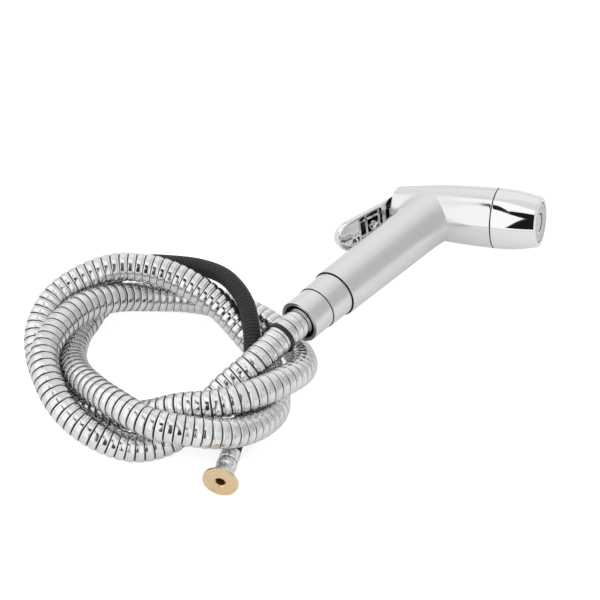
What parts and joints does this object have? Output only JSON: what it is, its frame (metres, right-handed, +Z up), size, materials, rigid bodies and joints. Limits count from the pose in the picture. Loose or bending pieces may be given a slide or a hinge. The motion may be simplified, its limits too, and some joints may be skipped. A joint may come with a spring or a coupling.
{
  "type": "handheld bath sprayer",
  "caption": "Handheld bath sprayer with a thumb lever, round spray head, coiled strip-wound metal hose over a braided hose and a flanged brass tail.",
  "frame": {"origin": "bottom centre of the handset's bounding box, on the floor that it lies on", "axes": "+Z up, +X the way that the spray head lies from the coiled hose, +Y away from the coil's near side"},
  "size_m": [0.2904, 0.2133, 0.0411],
  "materials": {
    "satin_chrome": "satin",
    "chrome": "polished",
    "hose_steel": "polished",
    "steel": "plain",
    "brass": "machined",
    "grey_plastic": "satin",
    "white_plastic": "satin",
    "black_plastic": "satin",
    "black_rubber": "matt",
    "black_braid": "braided"
  },
  "bodies": {
    "handset": {"handle_shell": "satin_chrome", "nozzle_cap": "chrome", "spray_plate": "grey_plastic", "jet_insert": "white_plastic", "flow_diffuser": "white_plastic", "spray_chamber": "white_plastic", "cap_o_ring": "black_rubber", "outlet_tube": "white_plastic", "valve_body": "brass", "gland_nut": "brass", "gland_o_ring": "black_rubber", "valve_spring": "steel", "inlet_tube": "white_plastic", "check_valve_housing": "white_plastic", "check_spring": "steel", "lever_pin": "steel", "collar_ring": "satin_chrome", "hose_sleeve": "satin_chrome", "sleeve_grommet": "black_rubber", "hose_nipple": "brass", "nipple_washer": "black_rubber", "inner_ferrule": "steel", "metal_hose": "hose_steel", "hose_end_ring": "hose_steel", "braided_hose": "black_braid", "outer_ferrule": "chrome", "end_collar": "chrome", "brass_tail": "brass", "cable_tie": "black_plastic"},
    "lever": {"lever": "chrome"},
    "stem": {"valve_stem": "steel", "seat_washer": "black_rubber"},
    "poppet": {"check_poppet": "white_plastic", "poppet_seal": "black_rubber"}
  },
  "joints": [
    {"name": "lever_press", "type": "hinge", "parent": "handset", "child": "lever", "pos_m": [-0.00576, 0.0435, 0.01413], "axis": [-0.1066, 0.2109, 0.9717], "range_deg": [0, 10], "stiffness_Nm_per_rad": 1.6, "springref_deg": -2.86},
    {"name": "stem_slide", "type": "slide", "parent": "handset", "child": "stem", "axis": [0.7779, -0.591, 0.2136], "range_m": [0, 0.0032], "deforming": ["valve_spring"]},
    {"name": "poppet_slide", "type": "slide", "parent": "handset", "child": "poppet", "axis": [0.6193, 0.7786, -0.1011], "range_m": [0, 0.0014], "stiffness_N_per_m": 60, "springref_m": -0.002, "deforming": ["check_spring"]}
  ],
  "couplings": [
    {"joint": "stem_slide", "follows": "lever_press", "m_per_rad": 0.018}
  ]
}
